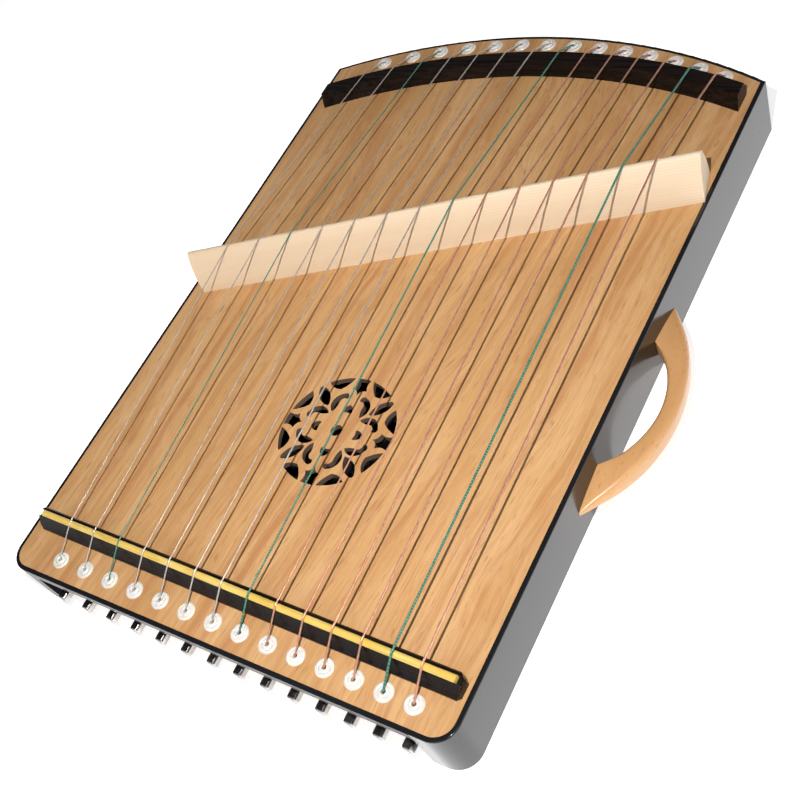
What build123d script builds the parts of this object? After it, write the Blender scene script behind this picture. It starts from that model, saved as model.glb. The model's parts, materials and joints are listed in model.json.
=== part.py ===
"""Small portable zither of the guzheng kind: fourteen strings over one long slanting bridge.

Frame: +Z up, Z = 0 on the underside, +Y from the tuning end to the curved tail end,
+X towards the bass strings and the carry handle. The origin is the middle of the underside.
Millimetres.
"""
import os
from math import cos, pi, radians, sin, sqrt, tan

from build123d import *

os.makedirs("parts", exist_ok=True)

# ---------------------------------------------------------------- body
body_width = 325.0
body_length = 488.0          # tuning end to the crown of the curved tail
body_height = 40.0
tail_rise = 38.0             # how far the curved tail stands beyond its corners
corner_radius = 14.0         # the two upright corners at the tuning end
rim_round = 0.8              # rounding of the rim's outer edges
wall = 6.5                   # thickness of sides and tail wall
edge_strip = 2.7             # width of wall left showing round the soundboard
board_thickness = 4.0
back_thickness = 3.0

half_width = body_width / 2
near_y = -body_length / 2
tail_radius = (half_width**2 + tail_rise**2) / (2 * tail_rise)
tail_centre_y = body_length / 2 - tail_radius
board_top = body_height
board_under = body_height - board_thickness
inner_half = half_width - wall

# ---------------------------------------------------------------- tuning end
recess_half = 140.0          # half width of the open recess
lip_height = 9.0
lip_depth = 8.0
lip_round = 1.2
block_near_y = near_y + 25
block_depth = 28.0
pin_height = 16.0
pin_reach = 3.0              # how far a pin stands out beyond the lip
pin_diameter = 7.6
pin_square = 6.4
pin_square_length = 9.0
pin_chamfer = 0.5
pin_in_block = 20.0
pin_clearance = 0.05         # radial running fit of a pin in the block

# ---------------------------------------------------------------- tail end
bulkhead_y = 172.0
bulkhead_thickness = 8.0
tail_block_thickness = 12.0
ball_diameter = 4.6
ball_height = 4.0
ball_chamfer = 0.6

# ---------------------------------------------------------------- strings
string_count = 14
first_string_x = -123.5
first_pitch = 22.1           # the strings stand a little closer towards the bass
pitch_taper = 0.163
thinnest_string = 0.7
string_step = 0.055
string_lift = 0.2            # air between a string and what it passes over
saddle_air = 0.65            # more at the saddle, whose crown is narrower than the bend
far_nut_air = 0.5            # and at the far nut, where a string turns down sharply
near_grommet_y = near_y + 14.5
tail_grommet_inset = 9.5     # from the outer edge of the tail
grommet_flange = 11.3
grommet_rise = 1.8
grommet_tube = 5.6
grommet_bore = 2.6
coil_turns = 3
coil_gap = 0.12              # between neighbouring turns
coil_air = 0.15              # between the turns and the pin

# ---------------------------------------------------------------- nuts and bridge
near_nut_half = 155.5
near_nut_foot = (2.0, near_y + 26.1)  # middle of its near foot
near_nut_angle = -0.9        # it stands a little askew
near_nut_depth = 12.0
nut_toe = 1.4                # upright part at the foot of the sloping face
nut_shoulder = 9.2           # where the sloping face meets the saddle strip
nut_back_top = 9.6
nut_back_bevel = 0.9
nut_end_bevel = 3.0
saddle_start = 5.6           # from the near foot of the nut to the saddle strip
saddle_width = 4.0
saddle_floor = 6.8           # bottom of the groove that holds the strip
saddle_top = 10.4
far_nut_ends = (-151.5, 155.0)
far_nut_centre = (19.0, -175.0)
far_nut_radius = 378.8
far_nut_height = 10.6
far_nut_depth = 14.2
far_nut_slope = 3.5          # from the near foot to the top
far_nut_bevel = 0.6
far_nut_back = (1.8, 0.6, 2.8)  # the back: run of the whole, run of the lower part, drop of the upper
far_nut_bend = 12.1          # from the near foot of the far nut to where a string bends
bridge_length = 333.8
bridge_half_base = 10.9
bridge_height = 29.0
bridge_flank = (8.2, 14.9)   # a point on the bulging flank: from the middle, above the foot
bridge_crest_half = 1.9
bridge_crest_drop = 1.1
bridge_angle = 21.7
bridge_middle = (1.6, 53.5)
bridge_bass_corner = (160.8, 105.1)  # near foot of the bass end
bridge_bass_angle = 12.0     # the bass end is cut askew, between square and in line with the side
bridge_spare = 10.0          # added before that cut
bridge_gap = 0.1             # bridge foot to soundboard

# ---------------------------------------------------------------- handle
handle_y = -27.8
handle_z = 18.5
handle_half_length = 70.5
handle_reach = 28.0
grip_half_gap = 42.0
grip_gap_depth = 18.5
handle_half_thick = 6.6
handle_tip_half_thick = 1.4
handle_straight = 28.0       # half length of the part of even thickness
handle_swell = (52.5, 5.0)   # a point on the taper: from the middle, half thickness
handle_round = 2.4
screw_offset = 54.0
screw_shank = 3.5
screw_hole = 3.6
screw_head = 7.0
screw_head_height = 2.4
screw_bite = 8.5             # length of the shank in the handle
screw_hole_end = 0.5         # the hole goes this much deeper than the shank

# ---------------------------------------------------------------- rosette
rosette_centre = (11.0, -96.3)
rosette_radius = 38.0
rosette_eye = 0.10           # radius of the middle hole as a share of the whole

# ---------------------------------------------------------------- braces
near_brace_y = -158.0        # clear of the rosette on its near side
middle_brace_y = -34.0
far_brace_y = 92.0
brace_width = 9.0
brace_height = 13.0
brace_bevel = 3.0


def body_plan(inset):
    """Outline of the body seen from above, drawn in by inset all round."""
    side = half_width - inset
    radius = tail_radius - inset
    corner_y = tail_centre_y + sqrt(radius**2 - side**2)
    with BuildSketch() as plan:
        with BuildLine():
            ThreePointArc((side, corner_y), (0, tail_centre_y + radius), (-side, corner_y))
            Polyline((-side, corner_y), (-side, near_y + inset), (side, near_y + inset), (side, corner_y))
        make_face()
        fillet(plan.vertices().group_by(Axis.Y)[0], corner_radius - inset)
    return plan.sketch


def string_x(number):
    """Across-the-board place of a string, numbered 0 to 13 from the treble side."""
    return first_string_x + first_pitch * number - pitch_taper * number**2


def string_radius(number):
    return (thinnest_string + string_step * number) / 2


def coil_radius(number):
    """Middle line of a string's turns round its pin."""
    return pin_diameter / 2 + coil_air + string_radius(number)


def pin_x(number):
    """A pin stands to the treble side of its string, which drops straight down beside it."""
    return string_x(number) - coil_radius(number)


def tail_grommet_y(x):
    """The tail grommets follow the curved edge."""
    return tail_centre_y + sqrt((tail_radius - tail_grommet_inset) ** 2 - x**2)


def far_nut_y(x, radial):
    """Where the far nut, taken at a distance from its near foot, crosses the line of a string."""
    return far_nut_centre[1] + sqrt((far_nut_radius + radial) ** 2 - (x - far_nut_centre[0]) ** 2)


def saddle_y(x):
    """Where the crown of the saddle strip crosses the line of a string."""
    slant = radians(near_nut_angle)
    crown = saddle_start + saddle_width / 2
    return near_nut_foot[1] + crown / cos(slant) + (x - near_nut_foot[0]) * tan(slant)


def crest_y(x):
    """Where the bridge crest crosses the line of a string."""
    return bridge_middle[1] + (x - bridge_middle[0]) * tan(radians(bridge_angle))


def save(piece, name):
    piece.part.label = name
    export_step(piece.part, f"parts/{name}.step")


# ================================================================ soundboard
def polar(radius, angle):
    """Point of the rosette: radius as a share of the whole, angle in degrees."""
    x = rosette_centre[0] + rosette_radius * radius * cos(radians(angle))
    y = rosette_centre[1] + rosette_radius * radius * sin(radians(angle))
    return (x, y)


def opening(axis, side, *points):
    """One pierced opening: corners and the middles of the arcs between them, in turn."""
    line = [polar(radius, axis + side * angle) for radius, angle in points]
    line.append(line[0])
    with BuildSketch() as hole:
        with BuildLine():
            for start in range(0, len(line) - 2, 2):
                ThreePointArc(line[start], line[start + 1], line[start + 2])
        make_face()
    return hole.sketch


# outlines of the openings: (radius, angle from the axis), corners and arc middles in turn
rim_star = [(1.0, 7), (0.885, 6.5), (0.80, 10), (0.765, 4), (0.68, 0), (0.765, -4), (0.80, -10),
            (0.885, -6.5), (1.0, -7), (1.0, 0)]
drop = [(0.345, 14), (0.43, 10), (0.49, 0), (0.43, -10), (0.345, -14), (0.35, 0)]
leaf = [(0.555, 45), (0.77, 52), (0.955, 47.5), (0.985, 45), (0.955, 42.5), (0.77, 38)]
comma = [(0.40, 41), (0.60, 36.5), (0.70, 18), (0.665, 10.5), (0.60, 12), (0.605, 19), (0.53, 25),
         (0.45, 31)]
rim_triangle = [(1.0, 10), (1.0, 23), (1.0, 36), (0.89, 33.5), (0.80, 24), (0.885, 15)]


with BuildPart() as soundboard:
    with BuildSketch(Plane.XY.offset(board_under)):
        add(body_plan(edge_strip))
    extrude(amount=board_thickness)
    # the pierced rosette
    with BuildSketch(Plane.XY.offset(board_under)):
        with Locations(rosette_centre):
            Circle(rosette_radius * rosette_eye)
        for axis in (0, 90, 180, 270):
            add(opening(axis, 1, *rim_star))
            add(opening(axis, 1, *drop))
            add(opening(axis, 1, *leaf))
            for side in (1, -1):
                add(opening(axis, side, *comma))
                add(opening(axis, side, *rim_triangle))
    extrude(amount=board_thickness, mode=Mode.SUBTRACT)
    # string holes
    with BuildSketch(Plane.XY.offset(board_under)):
        for number in range(string_count):
            x = string_x(number)
            with Locations((x, near_grommet_y), (x, tail_grommet_y(x))):
                Circle(grommet_tube / 2)
    extrude(amount=board_thickness, mode=Mode.SUBTRACT)
save(soundboard, "soundboard")

# ================================================================ rim
with BuildPart() as rim:
    with BuildSketch():
        add(body_plan(0))
        add(body_plan(wall), mode=Mode.SUBTRACT)
    extrude(amount=body_height)
    for flat in (rim.faces().sort_by(Axis.Z)[-1], rim.faces().sort_by(Axis.Z)[0]):
        fillet(flat.outer_wire().edges(), rim_round)
    # rebate for the soundboard
    with BuildSketch(Plane.XY.offset(board_under)):
        add(body_plan(edge_strip))
    extrude(amount=board_thickness, mode=Mode.SUBTRACT)
    # rebate for the back board
    with BuildSketch():
        with Locations((0, (block_near_y + bulkhead_y + bulkhead_thickness) / 2)):
            Rectangle(body_width - 2 * edge_strip, bulkhead_y + bulkhead_thickness - block_near_y)
    extrude(amount=back_thickness, mode=Mode.SUBTRACT)

with BuildPart() as far_wall:
    add(rim.part)
    with BuildSketch():
        with Locations((0, tail_centre_y)):
            Circle(tail_radius - wall)
    extrude(amount=body_height, mode=Mode.SUBTRACT)
save(far_wall, "far_wall")

# holes for the handle screws go through the right side
screw_spots = [handle_y - screw_offset, handle_y + screw_offset]

with BuildPart() as left_side:
    add(rim.part)
    add(far_wall.part, mode=Mode.SUBTRACT)
    with BuildSketch():
        with Locations((recess_half, 0)):
            Rectangle(4 * recess_half, 2 * body_length)
    extrude(amount=body_height, mode=Mode.SUBTRACT)
save(left_side, "left_side")

with BuildPart() as right_side:
    add(rim.part)
    add(far_wall.part, mode=Mode.SUBTRACT)
    with BuildSketch():
        with Locations((-recess_half, 0)):
            Rectangle(4 * recess_half, 2 * body_length)
    extrude(amount=body_height, mode=Mode.SUBTRACT)
    with BuildSketch(Plane.YZ.offset(half_width)):
        with Locations(*[(y, handle_z) for y in screw_spots]):
            Circle(screw_hole / 2)
    extrude(amount=-2 * wall, mode=Mode.SUBTRACT)
save(right_side, "right_side")

with BuildPart() as near_lip:
    with BuildSketch(Plane.YZ.offset(-recess_half)):
        with BuildLine():
            Polyline(
                (near_y, body_height - lip_height),
                (near_y, body_height - rim_round),
                (near_y + rim_round, body_height),
                (near_y + edge_strip, body_height),
                (near_y + edge_strip, board_under),
                (near_y + lip_depth, board_under),
                (near_y + lip_depth, body_height - lip_height),
                close=True,
            )
        make_face()
    extrude(amount=2 * recess_half)
    fillet(near_lip.edges().filter_by(Axis.X).group_by(Axis.Z)[0], lip_round)
save(near_lip, "near_lip")

# ================================================================ inside
with BuildPart() as back_board:
    with BuildSketch():
        with Locations((0, (block_near_y + bulkhead_y + bulkhead_thickness) / 2)):
            Rectangle(body_width - 2 * edge_strip, bulkhead_y + bulkhead_thickness - block_near_y)
    extrude(amount=back_thickness)
save(back_board, "back_board")

with BuildPart() as pin_block:
    with BuildSketch(Plane.XY.offset(back_thickness)):
        with Locations((0, block_near_y + block_depth / 2)):
            Rectangle(2 * inner_half, block_depth)
    extrude(amount=board_under - back_thickness)
    with BuildSketch(Plane.XZ.offset(-block_near_y)):
        with Locations(*[(pin_x(number), pin_height) for number in range(string_count)]):
            Circle(pin_diameter / 2 + pin_clearance)
    extrude(amount=-(pin_in_block + 1), mode=Mode.SUBTRACT)
save(pin_block, "pin_block")

with BuildPart() as tail_block:
    with BuildSketch(Plane.XY.offset(board_under - tail_block_thickness)):
        add(body_plan(wall))
        with Locations((0, bulkhead_y + bulkhead_thickness - body_length)):
            Rectangle(2 * body_width, 2 * body_length, mode=Mode.SUBTRACT)
        for number in range(string_count):
            x = string_x(number)
            with Locations((x, tail_grommet_y(x))):
                Circle(grommet_bore / 2, mode=Mode.SUBTRACT)
    extrude(amount=tail_block_thickness)
save(tail_block, "tail_block")

with BuildPart() as far_bulkhead:
    with BuildSketch(Plane.XY.offset(back_thickness)):
        with Locations((0, bulkhead_y + bulkhead_thickness / 2)):
            Rectangle(2 * inner_half, bulkhead_thickness)
    extrude(amount=board_under - back_thickness)
save(far_bulkhead, "far_bulkhead")

board_braces = (("near_brace", near_brace_y), ("middle_brace", middle_brace_y), ("far_brace", far_brace_y))
for name, y in board_braces:
    with BuildPart() as brace:
        with BuildSketch(Plane.XY.offset(board_under - brace_height)):
            with Locations((0, y)):
                Rectangle(2 * inner_half, brace_width)
        extrude(amount=brace_height)
        chamfer(brace.edges().filter_by(Axis.X).group_by(Axis.Z)[0], brace_bevel)
    save(brace, name)

with BuildPart() as back_brace:
    with BuildSketch(Plane.XY.offset(back_thickness)):
        with Locations((0, middle_brace_y)):
            Rectangle(2 * inner_half, brace_width)
    extrude(amount=brace_height)
    chamfer(back_brace.edges().filter_by(Axis.X).group_by(Axis.Z)[-1], brace_bevel)
save(back_brace, "back_brace")

# ================================================================ nuts
nut_along = (cos(radians(near_nut_angle)), sin(radians(near_nut_angle)), 0)
nut_across = (-nut_along[1], nut_along[0], 0)
nut_section = Plane(origin=(*near_nut_foot, board_top), x_dir=nut_across, z_dir=nut_along)
nut_floor = Plane(origin=(*near_nut_foot, board_top), x_dir=nut_along, z_dir=(0, 0, 1))
strip_far = saddle_start + saddle_width
with BuildPart() as near_nut:
    with BuildSketch(nut_section.offset(-near_nut_half)):
        with BuildLine():
            Polyline(
                (0, 0),
                (0, nut_toe),
                (saddle_start, nut_shoulder),
                (saddle_start, saddle_floor),
                (strip_far, saddle_floor),
                (strip_far, nut_back_top),
                (near_nut_depth - nut_back_bevel, nut_back_top),
                (near_nut_depth, nut_back_top - nut_back_bevel),
                (near_nut_depth, 0),
                close=True,
            )
        make_face()
    extrude(amount=2 * near_nut_half)
    # the ends of the bar are bevelled in plan at both corners
    with BuildSketch(nut_floor):
        for side in (-1, 1):
            for corner in (0, near_nut_depth):
                with Locations(Location((side * near_nut_half, corner), 45)):
                    Rectangle(nut_end_bevel, nut_end_bevel)
    extrude(amount=2 * near_nut_depth, mode=Mode.SUBTRACT)
save(near_nut, "near_nut")

with BuildPart() as near_saddle_strip:
    strip_half = near_nut_half - nut_end_bevel
    with BuildSketch(nut_section.offset(-strip_half)):
        with BuildLine():
            Line((saddle_start, saddle_floor), (saddle_start, nut_shoulder))
            ThreePointArc(
                (saddle_start, nut_shoulder),
                (saddle_start + saddle_width / 2, saddle_top),
                (strip_far, nut_back_top),
            )
            Polyline((strip_far, nut_back_top), (strip_far, saddle_floor), (saddle_start, saddle_floor))
        make_face()
    extrude(amount=2 * strip_half)
save(near_saddle_strip, "near_saddle_strip")

with BuildPart() as far_nut:
    foot = far_nut_centre[1] + far_nut_radius
    far_nut_top = board_top + far_nut_height
    with BuildSketch(Plane.YZ.offset(far_nut_centre[0])):
        with BuildLine():
            Polyline(
                (foot, board_top),
                (foot + far_nut_slope - far_nut_bevel, far_nut_top - far_nut_bevel),
                (foot + far_nut_slope, far_nut_top),
                (foot + far_nut_depth - far_nut_back[0], far_nut_top),
                (foot + far_nut_depth - far_nut_back[1], far_nut_top - far_nut_back[2]),
                (foot + far_nut_depth, board_top),
                close=True,
            )
        make_face()
    nut_axis = Axis((far_nut_centre[0], far_nut_centre[1], 0), (0, 0, 1))
    revolve(axis=nut_axis, revolution_arc=40)
    revolve(far_nut.faces().sort_by(Axis.X)[-1], axis=nut_axis, revolution_arc=-40)
    # square off the two ends
    with BuildSketch(Plane.XY.offset(board_top)):
        for side, end_x in zip((-1, 1), far_nut_ends):
            with Locations((end_x + side * half_width / 2, body_length / 4)):
                Rectangle(half_width, body_length)
    extrude(amount=2 * far_nut_height, mode=Mode.SUBTRACT)
save(far_nut, "far_nut")

# ================================================================ grommets
flange_edge = 0.4            # thickness of the flange at its edge
flange_crown = (1.1, 1.15)   # highest point of the flange: in from the edge, above the board
flange_ring = (3.4, 0.9)     # shallow groove between flange and middle boss: radius, height
boss_flank = 0.4             # bulge of the boss beside the groove
bore_bevel = 0.5
with BuildPart() as grommet:
    with BuildSketch(Plane.XZ):
        with BuildLine():
            Polyline(
                (grommet_bore / 2, -board_thickness),
                (grommet_tube / 2, -board_thickness),
                (grommet_tube / 2, 0),
                (grommet_flange / 2, 0),
                (grommet_flange / 2, flange_edge),
            )
            ThreePointArc(
                (grommet_flange / 2, flange_edge),
                (grommet_flange / 2 - flange_crown[0], flange_crown[1]),
                flange_ring,
            )
            ThreePointArc(
                flange_ring,
                ((flange_ring[0] + grommet_bore / 2) / 2 + boss_flank, grommet_rise - bore_bevel / 5),
                (grommet_bore / 2 + bore_bevel, grommet_rise),
            )
            Polyline(
                (grommet_bore / 2 + bore_bevel, grommet_rise),
                (grommet_bore / 2, grommet_rise - bore_bevel),
                (grommet_bore / 2, -board_thickness),
            )
        make_face()
    revolve(axis=Axis.Z)

with BuildPart() as near_grommets:
    with Locations(*[(string_x(number), near_grommet_y, board_top) for number in range(string_count)]):
        add(grommet.part)
save(near_grommets, "near_grommets")

tail_spots = [(string_x(number), tail_grommet_y(string_x(number))) for number in range(string_count)]
with BuildPart() as far_grommets:
    with Locations(*[(x, y, board_top) for x, y in tail_spots]):
        add(grommet.part)
save(far_grommets, "far_grommets")

# ================================================================ bridge
bridge_plane = Plane(
    origin=(bridge_middle[0], bridge_middle[1], board_top + bridge_gap),
    x_dir=(-sin(radians(bridge_angle)), cos(radians(bridge_angle)), 0),
    z_dir=(cos(radians(bridge_angle)), sin(radians(bridge_angle)), 0),
)
shoulder = bridge_height - bridge_crest_drop
with BuildPart() as bridge:
    with BuildSketch(bridge_plane.offset(-bridge_length / 2)):
        with BuildLine():
            Line((bridge_half_base, 0), (-bridge_half_base, 0))
            ThreePointArc(
                (-bridge_half_base, 0), (-bridge_flank[0], bridge_flank[1]), (-bridge_crest_half, shoulder)
            )
            ThreePointArc((-bridge_crest_half, shoulder), (0, bridge_height), (bridge_crest_half, shoulder))
            ThreePointArc((bridge_crest_half, shoulder), bridge_flank, (bridge_half_base, 0))
        make_face()
    extrude(amount=bridge_length + bridge_spare)
    with BuildSketch(Plane.XY.offset(board_top)):
        with Locations(Location(bridge_bass_corner, bridge_bass_angle)):
            Rectangle(half_width, body_length, align=(Align.MIN, Align.CENTER))
    extrude(amount=2 * bridge_height, mode=Mode.SUBTRACT)
save(bridge, "bridge")

# ================================================================ tuning pins
pin_end_y = near_y - pin_reach
for number in range(string_count):
    with BuildPart() as tuning_pin:
        pin_plane = Plane(origin=(pin_x(number), pin_end_y, pin_height), x_dir=(1, 0, 0), z_dir=(0, 1, 0))
        with BuildSketch(pin_plane):
            Circle(pin_diameter / 2)
            Rectangle(pin_square, pin_square, mode=Mode.INTERSECT)
        extrude(amount=pin_square_length)
        chamfer(tuning_pin.faces().sort_by(Axis.Y)[0].edges(), pin_chamfer)
        with BuildSketch(pin_plane.offset(pin_square_length)):
            Circle(pin_diameter / 2)
        extrude(amount=block_near_y + pin_in_block - pin_end_y - pin_square_length)
    save(tuning_pin, f"tuning_pin_{number + 1:02d}")

# ================================================================ strings
bend_at_hole = 2.5
bend_at_saddle = 5.0
bend_at_crest = 4.0
route_bends = [bend_at_hole, bend_at_saddle, bend_at_crest, bend_at_hole, bend_at_hole]
above_near_hole = 1.2        # middle line of a string over the soundboard where it enters a grommet
above_tail_hole = 1.7
ball_top = board_under - tail_block_thickness
for number in range(string_count):
    x = string_x(number)
    radius = string_radius(number)
    turn_radius = coil_radius(number)
    coil_pitch = 2 * radius + coil_gap
    drop = board_top + above_near_hole - pin_height
    touch_y = near_grommet_y + drop * coil_pitch / (2 * pi * turn_radius)
    route = [
        (x, touch_y, pin_height),
        (x, near_grommet_y, board_top + above_near_hole),
        (x, saddle_y(x), board_top + saddle_top + saddle_air + radius),
        (x, crest_y(x), board_top + bridge_gap + bridge_height + string_lift + radius),
        (x, far_nut_y(x, far_nut_bend), far_nut_top + far_nut_air + radius),
        (x, tail_grommet_y(x), board_top + above_tail_hole),
        (x, tail_grommet_y(x), ball_top),
    ]
    coil_plane = Plane(origin=(pin_x(number), touch_y, pin_height), x_dir=(1, 0, 0), z_dir=(0, 1, 0))
    winding = coil_plane.location * Helix(coil_pitch, coil_turns * coil_pitch, turn_radius)
    with BuildPart() as string:
        with BuildLine() as run:
            FilletPolyline(*route, radius=route_bends)
        with BuildSketch(Plane(origin=run.line @ 0, z_dir=run.line % 0)):
            Circle(radius)
        sweep(path=run.line)
        with BuildSketch(Plane(origin=winding @ 0, z_dir=winding % 0)):
            Circle(radius)
        sweep(path=winding, is_frenet=True)
    save(string, f"string_{number + 1:02d}")

with BuildPart() as string_balls:
    with BuildSketch(Plane.XY.offset(ball_top)):
        with Locations(*tail_spots):
            Circle(ball_diameter / 2)
    extrude(amount=-ball_height)
    chamfer(string_balls.edges().filter_by(GeomType.CIRCLE), ball_chamfer)
save(string_balls, "string_balls")

# ================================================================ handle
with BuildPart() as handle:
    with BuildSketch(Plane.XY.offset(handle_z)):
        with BuildLine():
            ThreePointArc(
                (half_width, handle_y - handle_half_length),
                (half_width + handle_reach, handle_y),
                (half_width, handle_y + handle_half_length),
            )
            Line((half_width, handle_y + handle_half_length), (half_width, handle_y + grip_half_gap))
            ThreePointArc(
                (half_width, handle_y + grip_half_gap),
                (half_width + grip_gap_depth, handle_y),
                (half_width, handle_y - grip_half_gap),
            )
            Line((half_width, handle_y - grip_half_gap), (half_width, handle_y - handle_half_length))
        make_face()
    extrude(amount=handle_half_thick, both=True)
    # the long curved edges are rounded for the hand
    fillet(handle.edges().filter_by(GeomType.CIRCLE), handle_round)
    # seen from the side it swells from two fine tips to an even middle
    with BuildSketch(Plane.YZ.offset(half_width - 1)):
        with BuildLine():
            for side in (1, -1):
                ThreePointArc(
                    (handle_y - handle_half_length, handle_z + side * handle_tip_half_thick),
                    (handle_y - handle_swell[0], handle_z + side * handle_swell[1]),
                    (handle_y - handle_straight, handle_z + side * handle_half_thick),
                )
                Line(
                    (handle_y - handle_straight, handle_z + side * handle_half_thick),
                    (handle_y + handle_straight, handle_z + side * handle_half_thick),
                )
                ThreePointArc(
                    (handle_y + handle_straight, handle_z + side * handle_half_thick),
                    (handle_y + handle_swell[0], handle_z + side * handle_swell[1]),
                    (handle_y + handle_half_length, handle_z + side * handle_tip_half_thick),
                )
            for end in (-1, 1):
                Line(
                    (handle_y + end * handle_half_length, handle_z - handle_tip_half_thick),
                    (handle_y + end * handle_half_length, handle_z + handle_tip_half_thick),
                )
        make_face()
    extrude(amount=handle_reach + 2, mode=Mode.INTERSECT)
    with BuildSketch(Plane.YZ.offset(half_width)):
        with Locations(*[(y, handle_z) for y in screw_spots]):
            Circle(screw_hole / 2)
    extrude(amount=screw_bite + screw_hole_end, mode=Mode.SUBTRACT)
save(handle, "handle")

with BuildPart() as handle_screws:
    with BuildSketch(Plane.YZ.offset(half_width - wall)):
        with Locations(*[(y, handle_z) for y in screw_spots]):
            Circle(screw_head / 2)
    extrude(amount=-screw_head_height)
    with BuildSketch(Plane.YZ.offset(half_width - wall)):
        with Locations(*[(y, handle_z) for y in screw_spots]):
            Circle(screw_shank / 2)
    extrude(amount=wall + screw_bite)
save(handle_screws, "handle_screws")
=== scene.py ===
"""Looks of the small fourteen-string table zither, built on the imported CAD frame. Metres."""
import json
import math

import bpy
import numpy as np
from mathutils import Matrix, Vector


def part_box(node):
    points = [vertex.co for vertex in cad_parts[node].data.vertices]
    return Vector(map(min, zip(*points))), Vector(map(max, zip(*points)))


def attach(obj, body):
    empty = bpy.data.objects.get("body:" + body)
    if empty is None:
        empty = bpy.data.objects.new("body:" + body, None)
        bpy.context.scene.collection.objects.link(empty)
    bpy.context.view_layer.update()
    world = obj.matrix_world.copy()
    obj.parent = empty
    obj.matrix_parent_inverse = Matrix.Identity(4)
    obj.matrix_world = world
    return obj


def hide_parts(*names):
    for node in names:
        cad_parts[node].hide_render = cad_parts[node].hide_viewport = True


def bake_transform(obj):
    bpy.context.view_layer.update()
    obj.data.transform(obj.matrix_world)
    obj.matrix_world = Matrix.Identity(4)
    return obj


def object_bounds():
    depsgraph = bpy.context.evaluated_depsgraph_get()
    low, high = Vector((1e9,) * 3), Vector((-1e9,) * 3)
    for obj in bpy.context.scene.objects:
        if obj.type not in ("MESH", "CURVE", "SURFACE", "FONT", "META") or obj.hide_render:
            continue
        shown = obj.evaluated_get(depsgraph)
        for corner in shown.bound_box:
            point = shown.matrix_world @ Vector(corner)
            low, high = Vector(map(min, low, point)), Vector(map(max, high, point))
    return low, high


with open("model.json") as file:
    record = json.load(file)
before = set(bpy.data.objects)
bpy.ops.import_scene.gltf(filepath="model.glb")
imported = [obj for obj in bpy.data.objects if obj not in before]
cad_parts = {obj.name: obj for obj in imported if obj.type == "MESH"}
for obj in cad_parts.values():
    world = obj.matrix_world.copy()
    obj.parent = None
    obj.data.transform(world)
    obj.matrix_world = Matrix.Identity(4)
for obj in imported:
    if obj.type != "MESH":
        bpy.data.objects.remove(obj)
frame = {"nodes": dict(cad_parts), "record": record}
cad_low, cad_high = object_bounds()
nodes = frame["nodes"]
MM = 0.001
scene = bpy.context.scene
scene.view_settings.view_transform = "Standard"

# ------------------------------------------------------------------ camera
# the axes of the view: to the picture's right, down it, and away from the camera
right = Vector((0.798636, 0.464767, -0.382324))
down = Vector((0.212637, -0.812231, -0.543200))
forward = right.cross(down).normalized()
camera_spot = Vector((0.38640, -0.33667, 0.52943))
camera_data = bpy.data.cameras.new("camera")
camera_data.sensor_width = 36.0
camera_data.lens = 50.481
camera_data.shift_x = 0.0775
camera_data.shift_y = 0.0575
camera = bpy.data.objects.new("camera", camera_data)
turn = Matrix((right, -down, -forward)).transposed().to_4x4()
camera.matrix_world = Matrix.Translation(camera_spot) @ turn
scene.collection.objects.link(camera)
scene.camera = camera


# ------------------------------------------------------------------ light and floor
def area_light(name, spot, target, size, watts, colour=(1.0, 1.0, 1.0)):
    data = bpy.data.lights.new(name, "AREA")
    data.shape = "DISK"
    data.size = size
    data.energy = watts
    data.color = colour
    lamp = bpy.data.objects.new(name, data)
    lamp.location = spot
    lamp.rotation_mode = "QUATERNION"
    lamp.rotation_quaternion = (Vector(target) - Vector(spot)).to_track_quat("-Z", "Y")
    scene.collection.objects.link(lamp)


area_light("key", (0.272, -0.285, 0.570), (-0.55, 0.22, 0.04), 0.007, 5.1, (1.0, 0.99, 0.985))
area_light("fill_near", (0.3, -1.6, 1.1), (0, 0, 0), 1.2, 4.5)
area_light("fill_right", (1.6, -0.1, 0.8), (0, 0, 0), 1.2, 4.0)

# the camera sees plain white; the object is lit by a sky brighter near the horizon on top of the lamps
world = bpy.data.worlds.new("studio")
world.use_nodes = True
scene.world = world
wt = world.node_tree
wt.nodes.clear()
w_out = wt.nodes.new("ShaderNodeOutputWorld")
w_mix = wt.nodes.new("ShaderNodeMixShader")
w_path = wt.nodes.new("ShaderNodeLightPath")
w_seen = wt.nodes.new("ShaderNodeBackground")
w_seen.inputs["Color"].default_value = (1.0, 1.0, 1.0, 1.0)
w_lit = wt.nodes.new("ShaderNodeBackground")
w_coord = wt.nodes.new("ShaderNodeTexCoord")
w_split = wt.nodes.new("ShaderNodeSeparateXYZ")
w_ramp = wt.nodes.new("ShaderNodeValToRGB")
w_ramp.color_ramp.elements[0].position = 0.05
w_ramp.color_ramp.elements[0].color = (0.55, 0.56, 0.58, 1)
w_ramp.color_ramp.elements[1].position = 0.55
w_ramp.color_ramp.elements[1].color = (0.07, 0.07, 0.075, 1)
wt.links.new(w_coord.outputs["Generated"], w_split.inputs[0])
wt.links.new(w_split.outputs["Z"], w_ramp.inputs["Fac"])
wt.links.new(w_ramp.outputs["Color"], w_lit.inputs["Color"])
wt.links.new(w_path.outputs["Is Camera Ray"], w_mix.inputs["Fac"])
wt.links.new(w_lit.outputs[0], w_mix.inputs[1])
wt.links.new(w_seen.outputs[0], w_mix.inputs[2])
wt.links.new(w_mix.outputs[0], w_out.inputs["Surface"])


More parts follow.
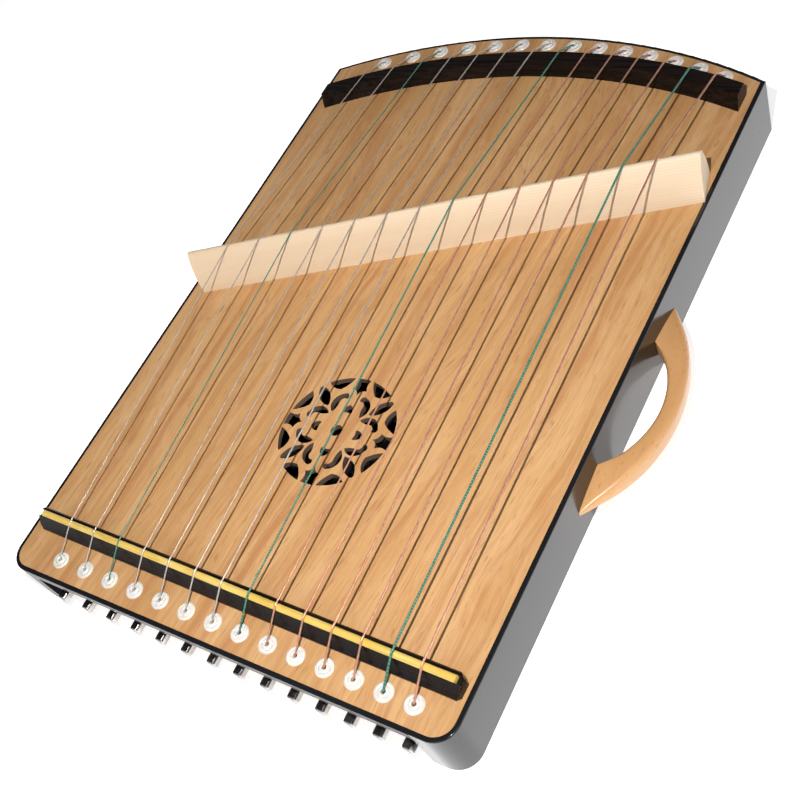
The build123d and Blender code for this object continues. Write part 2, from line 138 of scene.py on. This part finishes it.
# ------------------------------------------------------------------ material helpers
class Paint:
    """One procedural material: a Principled shader and short calls for the nodes that feed it."""

    def __init__(self, name, roughness=0.5, metallic=0.0, **sockets):
        self.material = bpy.data.materials.new(name)
        self.material.use_nodes = True
        self.tree = self.material.node_tree
        self.tree.nodes.clear()
        out = self.tree.nodes.new("ShaderNodeOutputMaterial")
        self.shader = self.tree.nodes.new("ShaderNodeBsdfPrincipled")
        self.tree.links.new(self.shader.outputs["BSDF"], out.inputs["Surface"])
        self.shader.inputs["Roughness"].default_value = roughness
        self.shader.inputs["Metallic"].default_value = metallic
        for socket, value in sockets.items():
            self.shader.inputs[socket.replace("_", " ")].default_value = value

    def node(self, kind, inputs=None, **settings):
        made = self.tree.nodes.new(kind)
        for key, value in settings.items():
            setattr(made, key, value)
        for key, value in (inputs or {}).items():
            if isinstance(value, bpy.types.NodeSocket):
                self.tree.links.new(value, made.inputs[key])
            else:
                made.inputs[key].default_value = value
        return made

    def place(self, scale=(1, 1, 1), turn_z=0.0):
        coord = self.node("ShaderNodeTexCoord")
        first = self.node(
            "ShaderNodeMapping", {"Vector": coord.outputs["Object"], "Rotation": (0, 0, turn_z)}
        )
        return self.node("ShaderNodeMapping", {"Vector": first.outputs[0], "Scale": scale}).outputs[0]

    def noise(self, where, scale=1.0, detail=2.0, roughness=0.5, distortion=0.0):
        made = self.node(
            "ShaderNodeTexNoise",
            {"Vector": where, "Scale": scale, "Detail": detail, "Roughness": roughness,
             "Distortion": distortion},
        )
        return made.outputs["Fac"]

    def wave(self, where, scale, distortion, detail, detail_scale, axis):
        made = self.node(
            "ShaderNodeTexWave",
            {"Vector": where, "Scale": scale, "Distortion": distortion, "Detail": detail,
             "Detail Scale": detail_scale},
            wave_type="BANDS", bands_direction=axis, wave_profile="SIN",
        )
        return made.outputs["Fac"]

    def ramp(self, factor, *stops):
        made = self.node("ShaderNodeValToRGB", {"Fac": factor})
        elements = made.color_ramp.elements
        while len(elements) < len(stops):
            elements.new(0.5)
        for element, (position, colour) in zip(elements, stops):
            element.position = position
            element.color = (*colour, 1.0)
        return made.outputs["Color"]

    def grey(self, factor, low, high, low_value=0.0, high_value=1.0):
        made = self.node(
            "ShaderNodeMapRange",
            {"Value": factor, "From Min": low, "From Max": high,
             "To Min": low_value, "To Max": high_value},
        )
        return made.outputs["Result"]

    def mix(self, factor, a, b, blend="MIX"):
        made = self.node("ShaderNodeMix", {"Factor": factor}, data_type="RGBA", blend_type=blend)
        for value, socket in ((a, made.inputs[6]), (b, made.inputs[7])):
            if isinstance(value, bpy.types.NodeSocket):
                self.tree.links.new(value, socket)
            else:
                socket.default_value = (*value, 1.0)
        return made.outputs[2]

    def maths(self, operation, a, b=0.0):
        return self.node("ShaderNodeMath", {0: a, 1: b}, operation=operation).outputs[0]

    def side_mask(self, low=0.3, high=0.75):
        """1 on faces that look up or down, 0 on upright faces."""
        normal = self.node("ShaderNodeNewGeometry").outputs["Normal"]
        z = self.node("ShaderNodeSeparateXYZ", {0: normal}).outputs["Z"]
        return self.grey(self.maths("ABSOLUTE", z), low, high)

    def colour(self, value):
        self.tree.links.new(value, self.shader.inputs["Base Color"])
        return self

    def rough(self, value):
        self.tree.links.new(value, self.shader.inputs["Roughness"])
        return self

    def bump(self, height, distance, strength=1.0):
        made = self.node(
            "ShaderNodeBump", {"Height": height, "Distance": distance, "Strength": strength}
        )
        self.tree.links.new(made.outputs[0], self.shader.inputs["Normal"])
        return self


def soundboard_wood():
    """Paulownia: wavy growth bands along the strings, fine fibres and short dark pores."""
    p = Paint("soundboard_wood", roughness=0.55, IOR=1.4, Coat_Weight=0.08, Coat_Roughness=0.3)
    bend = p.noise(p.place((9, 2.4, 9)), 1.0, 3.0, 0.5)
    sway = p.node("ShaderNodeCombineXYZ", {"X": p.grey(bend, 0.0, 1.0, -0.045, 0.045)}).outputs[0]
    straight = p.place(turn_z=0.03)
    place = p.node("ShaderNodeVectorMath", {0: straight, 1: sway}, operation="ADD").outputs[0]

    def stretched(scale, shift=(0, 0, 0)):
        made = p.node("ShaderNodeMapping", {"Vector": place, "Scale": scale, "Location": shift})
        return made.outputs[0]

    broad = p.noise(stretched((16, 2.2, 1), (3, 1, 0)), 1.0, 3.0, 0.55)
    rings = p.noise(stretched((80, 1.3, 1)), 1.0, 4.0, 0.62)
    lines = p.noise(stretched((260, 5.0, 1), (7, 0, 0)), 1.0, 5.0, 0.65)
    mottle = p.noise(stretched((70, 26, 1), (1, 5, 0)), 1.0, 4.0, 0.65, 0.8)
    fibres = p.noise(stretched((1500, 45, 1)), 1.0, 3.0, 0.65)
    pores = p.noise(stretched((900, 80, 1), (2, 2, 0)), 1.0, 1.0, 0.4)
    tone = p.ramp(
        broad,
        (0.32, (0.53, 0.285, 0.106)),
        (0.5, (0.615, 0.345, 0.140)),
        (0.68, (0.69, 0.415, 0.190)),
    )
    tone = p.mix(p.grey(rings, 0.49, 0.67, 0.0, 0.75), tone, (0.46, 0.195, 0.07))
    tone = p.mix(p.grey(rings, 0.30, 0.46, 0.50, 0.0), tone, (0.77, 0.495, 0.245))
    tone = p.mix(p.grey(lines, 0.50, 0.68, 0.0, 0.60), tone, (0.46, 0.20, 0.08))
    tone = p.mix(p.grey(mottle, 0.48, 0.72, 0.0, 0.35), tone, (0.77, 0.495, 0.265))
    tone = p.mix(p.grey(fibres, 0.38, 0.55, 0.34, 0.0), tone, (0.40, 0.19, 0.07))
    tone = p.mix(p.grey(pores, 0.66, 0.72, 0.0, 0.50), tone, (0.27, 0.12, 0.045))
    tone = p.mix(p.side_mask(), (0.13, 0.088, 0.066), tone)
    p.colour(tone)
    p.rough(p.grey(lines, 0.3, 0.7, 0.48, 0.62))
    p.bump(p.maths("ADD", fibres, p.maths("MULTIPLY", pores, -0.8)), 0.00005, 0.5)
    return p.material


def black_lacquer(name="black_lacquer", colour=(0.008, 0.008, 0.009), shine=0.42, coat=0.08):
    """Gloss black lacquer with faint orange peel; shine is the strength of its mirror."""
    p = Paint(name, roughness=0.2, IOR=1.5, Specular_IOR_Level=shine, Coat_Weight=coat,
              Coat_Roughness=0.035, Coat_IOR=1.5)
    broad = p.noise(p.place((14, 9, 14)), 1.0, 3.0)
    specks = p.noise(p.place((1, 1, 1)), 900.0, 2.0, 0.6)
    brown = tuple(c * 1.7 + 0.003 for c in colour)
    p.colour(p.mix(p.grey(broad, 0.4, 0.75, 0.0, 0.6), colour, brown))
    p.rough(p.grey(specks, 0.35, 0.7, 0.12, 0.22))
    p.bump(p.noise(p.place((40, 14, 40)), 1.0, 2.0), 0.00006, 0.3)
    return p.material


def inner_wood():
    p = Paint("inner_wood", roughness=0.75)
    streaks = p.noise(p.place((9, 260, 260)), 1.0, 4.0, 0.6)
    broad = p.noise(p.place((3, 30, 30)), 1.0, 3.0)
    tone = p.ramp(broad, (0.3, (0.46, 0.30, 0.16)), (0.7, (0.62, 0.43, 0.25)))
    p.colour(p.mix(p.grey(streaks, 0.5, 0.7, 0.0, 0.5), tone, (0.30, 0.18, 0.09)))
    p.rough(p.grey(streaks, 0.3, 0.7, 0.66, 0.82))
    p.bump(streaks, 0.0002, 0.5)
    return p.material


def nut_wood():
    """Ebony-stained hardwood, polished, with a little brown left along the grain."""
    p = Paint("nut_wood", roughness=0.3, IOR=1.45, Specular_IOR_Level=0.2)
    grain = p.noise(p.place((12, 420, 420)), 1.0, 4.0, 0.65)
    broad = p.noise(p.place((6, 90, 90)), 1.0, 3.0)
    tone = p.ramp(grain, (0.40, (0.004, 0.003, 0.003)), (0.72, (0.018, 0.010, 0.007)))
    p.colour(p.mix(p.grey(broad, 0.5, 0.8, 0.0, 0.4), tone, (0.026, 0.014, 0.009)))
    p.rough(p.grey(grain, 0.3, 0.7, 0.18, 0.36))
    p.bump(grain, 0.00008, 0.5)
    return p.material


def saddle_yellow():
    p = Paint("saddle_yellow", roughness=0.38, Subsurface_Weight=0.08, Subsurface_Scale=0.002)
    lines = p.noise(p.place((16, 700, 700)), 1.0, 3.0, 0.6)
    broad = p.noise(p.place((40, 120, 120)), 1.0, 3.0)
    tone = p.ramp(broad, (0.3, (0.70, 0.46, 0.085)), (0.7, (0.84, 0.63, 0.19)))
    p.colour(p.mix(p.grey(lines, 0.5, 0.72, 0.0, 0.6), tone, (0.55, 0.33, 0.05)))
    p.rough(p.grey(lines, 0.3, 0.7, 0.3, 0.5))
    p.bump(lines, 0.0001, 0.5)
    return p.material


def grommet_white():
    p = Paint("grommet_white", roughness=0.3, Subsurface_Weight=0.2, Subsurface_Scale=0.0012,
              Coat_Weight=0.3, Coat_Roughness=0.15)
    cloud = p.noise(p.place((1, 1, 1)), 260.0, 3.0)
    fine = p.noise(p.place((1, 1, 1)), 2400.0, 2.0)
    p.colour(p.ramp(cloud, (0.3, (0.72, 0.68, 0.62)), (0.7, (0.82, 0.79, 0.74))))
    p.rough(p.grey(fine, 0.3, 0.7, 0.24, 0.40))
    p.bump(fine, 0.00004, 0.35)
    return p.material


def bridge_wood(angle):
    """Pale pine, planed: even growth lines along the bridge."""
    p = Paint("bridge_wood", roughness=0.55)
    along = -angle
    lines = p.wave(p.place((0.03, 1, 1.35), along), 210.0, 2.6, 3.0, 0.5, "DIAGONAL")
    drift = p.noise(p.place((3, 60, 60), along), 1.0, 3.0)
    fibres = p.noise(p.place((22, 1500, 1500), along), 1.0, 3.0, 0.6)
    tone = p.ramp(drift, (0.3, (0.65, 0.51, 0.355)), (0.7, (0.74, 0.615, 0.45)))
    tone = p.mix(p.grey(lines, 0.55, 0.98, 0.0, 0.45), tone, (0.66, 0.46, 0.27))
    tone = p.mix(p.grey(fibres, 0.5, 0.75, 0.0, 0.25), tone, (0.66, 0.46, 0.30))
    p.colour(tone)
    p.rough(p.grey(lines, 0.2, 0.9, 0.62, 0.48))
    p.bump(p.maths("ADD", fibres, p.maths("MULTIPLY", lines, 0.4)), 0.00008, 0.5)
    return p.material


def handle_wood():
    """Beech under clear amber lacquer: short dark flecks along the grain."""
    p = Paint("handle_wood", roughness=0.45, Coat_Weight=0.18, Coat_Roughness=0.28)
    broad = p.noise(p.place((40, 9, 40)), 1.0, 3.0)
    flecks = p.noise(p.place((800, 190, 800)), 1.0, 2.0, 0.5)
    streaks = p.noise(p.place((420, 14, 420)), 1.0, 4.0, 0.6)
    tone = p.ramp(broad, (0.3, (0.56, 0.290, 0.110)), (0.7, (0.66, 0.365, 0.155)))
    tone = p.mix(p.grey(streaks, 0.5, 0.72, 0.0, 0.35), tone, (0.56, 0.25, 0.07))
    tone = p.mix(p.grey(flecks, 0.63, 0.70, 0.0, 0.55), tone, (0.42, 0.17, 0.05))
    p.colour(tone)
    p.rough(p.grey(broad, 0.3, 0.7, 0.28, 0.40))
    p.bump(p.maths("MULTIPLY", flecks, -1.0), 0.00006, 0.4)
    return p.material


def metal(name, colour, dark, roughness, along=(300, 300, 300), painted_end_shade=None, metallic=1.0):
    """Drawn or turned metal; a given end tone is painted shade on the faces that look along the
    strings, standing in for the shaded floor that they mirror.
    """
    p = Paint(name, roughness=roughness, metallic=metallic)
    cloud = p.noise(p.place((1, 1, 1)), 320.0, 3.0)
    lines = p.noise(p.place(along), 1.0, 3.0, 0.6)
    tone = p.mix(p.grey(cloud, 0.4, 0.75, 0.0, 0.55), colour, dark)
    # painted shade: faces that look along the strings are darkened to the end tone, in place of the
    # shaded floor they reflect
    if painted_end_shade:
        normal = p.node("ShaderNodeNewGeometry").outputs["Normal"]
        y = p.node("ShaderNodeSeparateXYZ", {0: normal}).outputs["Y"]
        ends = p.grey(p.maths("ABSOLUTE", y), 0.86, 0.95)
        tone = p.mix(ends, tone, painted_end_shade)
    p.colour(tone)
    p.rough(p.grey(lines, 0.3, 0.7, roughness * 0.75, roughness * 1.3))
    p.bump(lines, 0.00002, 0.4)
    return p.material


def wrapped_green():
    """Green wrapping with a paler thread wound in."""
    p = Paint("string_green", roughness=0.35, Coat_Weight=0.3, Coat_Roughness=0.2)
    thread = p.wave(p.place((0.4, 1, 0.4), 0.0), 190.0, 0.6, 1.0, 1.0, "Y")
    cloud = p.noise(p.place((1, 1, 1)), 420.0, 2.0)
    tone = p.ramp(cloud, (0.3, (0.008, 0.12, 0.08)), (0.7, (0.02, 0.21, 0.145)))
    p.colour(p.mix(p.grey(thread, 0.72, 0.95, 0.0, 0.55), tone, (0.26, 0.40, 0.31)))
    p.rough(p.grey(thread, 0.0, 1.0, 0.3, 0.5))
    p.bump(thread, 0.00008, 0.6)
    return p.material


bridge_angle = math.radians(21.7)
paints = {
    "soundboard_wood": soundboard_wood(),
    "black_lacquer": black_lacquer(),
    "near_lacquer": black_lacquer("near_lacquer", (0.010, 0.010, 0.012), 0.02, 0.0),
    "inner_wood": inner_wood(),
    "nut_wood": nut_wood(),
    "saddle_yellow": saddle_yellow(),
    "grommet_white": grommet_white(),
    "bridge_wood": bridge_wood(bridge_angle),
    "handle_wood": handle_wood(),
    "screw_steel": metal("screw_steel", (0.60, 0.60, 0.62), (0.35, 0.35, 0.37), 0.35),
    "ball_brass": metal("ball_brass", (0.74, 0.55, 0.26), (0.45, 0.31, 0.13), 0.28),
    # the pin ends carry a near-black painted shade for the shaded floor they reflect
    "pin_steel": metal(
        "pin_steel", (0.60, 0.58, 0.56), (0.30, 0.28, 0.27), 0.20, (500, 60, 500),
        painted_end_shade=(0.020, 0.018, 0.018),
    ),
    "string_steel": metal(
        "string_steel", (0.66, 0.60, 0.54), (0.36, 0.31, 0.27), 0.40, (2000, 90, 2000), metallic=0.7
    ),
    "string_green": wrapped_green(),
    "string_copper": metal(
        "string_copper", (0.82, 0.45, 0.31), (0.46, 0.18, 0.11), 0.36, (1500, 1500, 1500),
        metallic=0.75,
    ),
}
slot_of = {row["node"]: row["material_slot"] for row in frame["record"]["subparts"]}


def paint(piece, slot):
    piece.data.materials.clear()
    piece.data.materials.append(paints[slot])


# the rail over the tuning recess and the left wall have a duller lacquer
less_polished = {"near_lip": "near_lacquer", "left_side": "near_lacquer"}
for name, node in nodes.items():
    paint(node, less_polished.get(name, slot_of[name]))


# ------------------------------------------------------------------ mesh helpers
def new_piece(name, points, faces, slot, body=None, smooth_angle=40.0):
    """A smooth-shaded mesh piece in a slot's paint, attached to the body when one is given."""
    mesh = bpy.data.meshes.new(name)
    mesh.from_pydata([tuple(p) for p in points], [], faces)
    mesh.validate()
    mesh.polygons.foreach_set("use_smooth", [True] * len(mesh.polygons))
    mesh.set_sharp_from_angle(angle=math.radians(smooth_angle))
    piece = bpy.data.objects.new(name, mesh)
    scene.collection.objects.link(piece)
    paint(piece, slot)
    if body:
        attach(piece, body)
    return piece


def rounded(route, radii):
    """A wire's line: straight runs joined by arcs of the given radii at the inner corners."""
    line = [np.array(route[0], float)]
    for before, corner, after, radius in zip(route, route[1:], route[2:], radii):
        before, corner, after = (np.array(p, float) for p in (before, corner, after))
        u = (before - corner) / np.linalg.norm(before - corner)
        v = (after - corner) / np.linalg.norm(after - corner)
        bend = math.pi - math.acos(max(-1.0, min(1.0, float(u @ v))))
        reach = radius * math.tan(bend / 2)
        centre = corner + (u + v) / np.linalg.norm(u + v) * radius / math.cos(bend / 2)
        start, end = corner + u * reach - centre, corner + v * reach - centre
        steps = max(2, int(math.degrees(bend) / 9) + 1)
        for k in range(steps + 1):
            part = k / steps
            spoke = math.sin((1 - part) * bend) * start + math.sin(part * bend) * end
            line.append(centre + spoke / math.sin(bend))
    line.append(np.array(route[-1], float))
    return line


def tube(line, radii, sides=10):
    """Points and faces of a round tube along a line, with closed ends."""
    line = np.array(line, float)
    radii = np.broadcast_to(np.array(radii, float), (len(line),))
    tangent = np.gradient(line, axis=0)
    tangent /= np.linalg.norm(tangent, axis=1)[:, None]
    side = np.cross(tangent[0], (0.31, 0.17, 0.93))
    points = []
    for spot, along, radius in zip(line, tangent, radii):
        side = side - along * (side @ along)
        side /= np.linalg.norm(side)
        other = np.cross(along, side)
        for k in range(sides):
            a = 2 * math.pi * k / sides
            points.append(spot + radius * (math.cos(a) * side + math.sin(a) * other))
    faces = []
    for ring in range(len(line) - 1):
        for k in range(sides):
            a, b = ring * sides + k, ring * sides + (k + 1) % sides
            faces.append((a, b, b + sides, a + sides))
    faces.append(tuple(range(sides))[::-1])
    faces.append(tuple((len(line) - 1) * sides + k for k in range(sides)))
    return points, faces


def joined(*tubes):
    """Several tubes as the points and faces of one mesh."""
    points, faces = [], []
    for more_points, more_faces in tubes:
        base = len(points)
        points += more_points
        faces += [tuple(base + k for k in face) for face in more_faces]
    return points, faces


def resampled(line, step):
    """The same line with a point about every step along each of its runs."""
    dense = [line[0]]
    for a, b in zip(line, line[1:]):
        count = max(1, int(np.linalg.norm(b - a) / step))
        dense += [a + (b - a) * k / count for k in range(1, count + 1)]
    return dense


# ------------------------------------------------------------------ strings
STRINGS = 14
PIN_SIDES = 24  # points in one turn of string round its pin
TURNS = 3  # turns of string below the place where the straight run leaves the pin
SADDLE_AIR = 0.65 * MM  # from the strip's top to the underside of a string
CREST_AIR = 0.2 * MM  # the same over the bridge, the far nut and round a pin
FAR_NUT_AIR = 0.5 * MM
PIN_AIR = 0.15 * MM
TURN_AIR = 0.12 * MM  # between neighbouring turns
HOLE_BEND = 2.5 * MM  # bend radii of a string
SADDLE_BEND = 5 * MM
NEAR_HOLE_TOP = 1.2 * MM  # where a string bends, above the board
TAIL_HOLE_TOP = 1.7 * MM
TAIL_INSET = 9.5 * MM  # from the tail's edge to the row of far holes
NEAR_SHARE, FAR_SHARE = 0.02, 0.04  # parts of the free lengths that belong to the fixed ends
WINDING_STEP = 0.24 * MM  # half a ripple of a wound string
LONG_STEP = 1.0  # longer than any run, so a plain string has none
WINDING_DEPTH = 0.84  # the low radius of a ripple, as a share of the high one

board_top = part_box("soundboard")[1].z
nut_low, nut_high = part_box("near_saddle_strip")
bridge_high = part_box("bridge")[1]
far_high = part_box("far_nut")[1]
grommet_low, grommet_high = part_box("near_grommets")
near_hole_y = (grommet_low.y + grommet_high.y) / 2
ball_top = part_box("string_balls")[1].z


def string_x(number):
    """Across-the-board place of a string, numbered 0 to 13 from the treble side."""
    return (-123.5 + 22.1 * number - 0.163 * number**2) * MM


def arc_y(x, centre, radius):
    return centre[1] + math.sqrt(radius**2 - (x - centre[0]) ** 2)


half_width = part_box("far_wall")[1].x
tail_rise = 38 * MM
tail_radius = (half_width**2 + tail_rise**2) / (2 * tail_rise)
tail_centre = (0.0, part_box("far_wall")[1].y - tail_radius)
far_nut_centre = (19 * MM, -175 * MM)
far_nut_bend = (378.8 + 12.1) * MM
crest_middle = (1.6 * MM, 53.5 * MM)
saddle_middle = (nut_low + nut_high) / 2
saddle_slant = math.tan(math.radians(-0.9))


def wire(line, radius, wound):
    """A string along a line; a wound one is rippled."""
    line = resampled(line, WINDING_STEP if wound else LONG_STEP)
    if not wound:
        return tube(line, radius)
    ripple = np.where(np.arange(len(line)) % 2 == 0, 1.0, WINDING_DEPTH)
    return tube(line, radius * ripple, 8)


def pin_turns(pin_x, pin_z, touch_y, turn_radius, pitch):
    """The turns round a pin, ending in its cross hole."""
    helix = []
    for k in range(-PIN_SIDES, TURNS * PIN_SIDES + 1):
        a = 2 * math.pi * k / PIN_SIDES
        across, up = turn_radius * math.cos(a), -turn_radius * math.sin(a)
        helix.append((pin_x + across, touch_y + pitch * k / PIN_SIDES, pin_z + up))
    last = np.array(helix[-1])
    inward = np.array((pin_x, last[1], pin_z)) - last
    sideways = (0, 0.2 * MM, 0)
    return helix + [tuple(last + inward * share + sideways) for share in (0.3, 0.6)]


for number in range(STRINGS):
    n = number + 1
    slot = slot_of[f"string_{n:02d}"]
    wound = slot == "string_copper"
    x = string_x(number)
    radius = (0.7 + 0.055 * number) / 2 * MM
    pin_low, pin_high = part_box(f"tuning_pin_{n:02d}")
    pin_x, pin_z = (pin_low.x + pin_high.x) / 2, (pin_low.z + pin_high.z) / 2
    turn_radius = (pin_high.x - pin_low.x) / 2 + PIN_AIR + radius
    pitch = 2 * radius + TURN_AIR
    near_top = board_top + NEAR_HOLE_TOP
    touch_y = near_hole_y + (near_top - pin_z) * pitch / (2 * math.pi * turn_radius)
    saddle_y = saddle_middle.y + (x - saddle_middle.x) * saddle_slant
    saddle = (x, saddle_y, nut_high.z + SADDLE_AIR + radius)
    crest_y = crest_middle[1] + (x - crest_middle[0]) * math.tan(bridge_angle)
    crest = (x, crest_y, bridge_high.z + CREST_AIR + radius)
    far = (x, arc_y(x, far_nut_centre, far_nut_bend), far_high.z + FAR_NUT_AIR + radius)
    tail_y = arc_y(x, tail_centre, tail_radius - TAIL_INSET)
    tail_top = (x, tail_y, board_top + TAIL_HOLE_TOP)
    # the fixed ends: pin to saddle, and far nut to the ball under the tail
    toward_crest = np.array(saddle) + (np.array(crest) - np.array(saddle)) * NEAR_SHARE
    from_crest = np.array(far) + (np.array(crest) - np.array(far)) * FAR_SHARE
    near_end = rounded(
        [(x, touch_y, pin_z), (x, near_hole_y, near_top), saddle, tuple(toward_crest)],
        [HOLE_BEND, SADDLE_BEND],
    )
    far_end = rounded(
        [tuple(from_crest), far, tail_top, (x, tail_y, ball_top)], [HOLE_BEND, HOLE_BEND]
    )
    points, faces = joined(wire(near_end, radius, wound), wire(far_end, radius, wound))
    ends = new_piece(f"string_{n:02d}_ends", points, faces, slot, "root", 80)
    # the free lengths on each side of the bridge, as pieces of their own with no body
    points, faces = wire([toward_crest, np.array(crest)], radius, wound)
    near_span = new_piece(f"string_{n:02d}_near", points, faces, slot, smooth_angle=80)
    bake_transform(near_span)
    points, faces = wire([np.array(crest), from_crest], radius, wound)
    far_span = new_piece(f"string_{n:02d}_far", points, faces, slot, smooth_angle=80)
    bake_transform(far_span)
    points, faces = tube(pin_turns(pin_x, pin_z, touch_y, turn_radius, pitch), radius, 8)
    new_piece(f"string_{n:02d}_coil", points, faces, slot, f"pin_{n:02d}", 80)
    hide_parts(f"string_{n:02d}")


# ------------------------------------------------------------------ handle
GAP_HALF, GAP_DEPTH = 42 * MM, 18.5 * MM  # the fingers' gap: half its length, and its depth
TAPER_START = 26 * MM  # from here the bow gets thinner towards its tips
TAPER_SHARE, TAPER_POWER = 0.80, 2.1
OUTER_ROUND = 3.4 * MM
INNER_ROUND, FLAT_ROUND = 3.0 * MM, 0.02 * MM  # inner edges, in the gap and against the wall
ROUND_RUN = 9 * MM  # length over which the inner edges change from one to the other
TIP_DEPTH, TIP_INSET = 0.12 * MM, 0.15 * MM
CORNER_STEPS = 7
HANDLE_SECTIONS = 97

handle_low, handle_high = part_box("handle")
handle_y = (handle_low.y + handle_high.y) / 2
handle_z = (handle_low.z + handle_high.z) / 2
half_length = (handle_high.y - handle_low.y) / 2
half_thick = (handle_high.z - handle_low.z) / 2
wall_x = handle_low.x
bow_rise = handle_high.x - handle_low.x


def bow(t, half, rise):
    """Height of a shallow arc at t from its middle."""
    radius = (half**2 + rise**2) / (2 * rise)
    if abs(t) >= half:
        return 0.0
    return math.sqrt(radius**2 - t**2) - (radius - rise)


def thickness(t):
    share = max(0.0, (abs(t) - TAPER_START) / (half_length - TAPER_START))
    return half_thick * (1 - TAPER_SHARE * share**TAPER_POWER)


def ring_of(x0, x1, h, inner_round, outer_round):
    """A rounded rectangle from x0 to x1, h to each side of the middle plane."""
    inner_round = min(inner_round, h * 0.98, (x1 - x0) * 0.49)
    outer_round = min(outer_round, h * 0.98, (x1 - x0) * 0.49)
    corners = [
        (x1 - outer_round, h - outer_round, outer_round, 0),
        (x0 + inner_round, h - inner_round, inner_round, 90),
        (x0 + inner_round, -h + inner_round, inner_round, 180),
        (x1 - outer_round, -h + outer_round, outer_round, 270),
    ]
    ring = []
    for cx, cz, radius, start in corners:
        for k in range(CORNER_STEPS):
            a = math.radians(start + 90 / (CORNER_STEPS - 1) * k)
            ring.append((cx + radius * math.cos(a), cz + radius * math.sin(a)))
    return ring


places = list(np.linspace(-1, 1, HANDLE_SECTIONS) * (half_length - TIP_INSET))
places += [-GAP_HALF, GAP_HALF]
points, faces = [], []
for t in sorted(places):
    outer, inner = bow(t, half_length, bow_rise), bow(t, GAP_HALF, GAP_DEPTH)
    ease = max(0.0, min(1.0, (GAP_HALF - abs(t)) / ROUND_RUN))
    inner_round = INNER_ROUND * ease + FLAT_ROUND
    section = ring_of(inner, max(outer, inner + TIP_DEPTH), thickness(t), inner_round, OUTER_ROUND)
    points += [(wall_x + sx, handle_y + t, handle_z + sz) for sx, sz in section]
sides = 4 * CORNER_STEPS
rings = len(points) // sides
for ring in range(rings - 1):
    for k in range(sides):
        a, b = ring * sides + k, ring * sides + (k + 1) % sides
        faces.append((a, a + sides, b + sides, b))
faces.append(tuple(range(sides)))
faces.append(tuple((rings - 1) * sides + k for k in range(sides))[::-1])
handle = new_piece("handle_bow", points, faces, "handle_wood", "root", 35)
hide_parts("handle")


# ------------------------------------------------------------------ floor
FLOOR_HALF = 6.0
FLOOR_GAP = 0.3 * MM  # below the underside, so that the two faces don't flicker
floor_mesh = bpy.data.meshes.new("floor")
corner_signs = ((-1, -1), (1, -1), (1, 1), (-1, 1))
floor_corners = [(sx * FLOOR_HALF, sy * FLOOR_HALF, 0) for sx, sy in corner_signs]
floor_mesh.from_pydata(floor_corners, [], [(0, 1, 2, 3)])
floor = bpy.data.objects.new("floor", floor_mesh)
floor.location.z = cad_low.z - FLOOR_GAP
scene.collection.objects.link(floor)
paper = Paint("floor_paper", roughness=0.9, Emission_Color=(1, 1, 1, 1), Emission_Strength=0.72)
cloud = paper.noise(paper.place((1, 1, 1)), 3.0, 2.0)
paper.colour(paper.ramp(cloud, (0.3, (0.90, 0.90, 0.905)), (0.7, (0.93, 0.93, 0.93))))
floor_mesh.materials.append(paper.material)
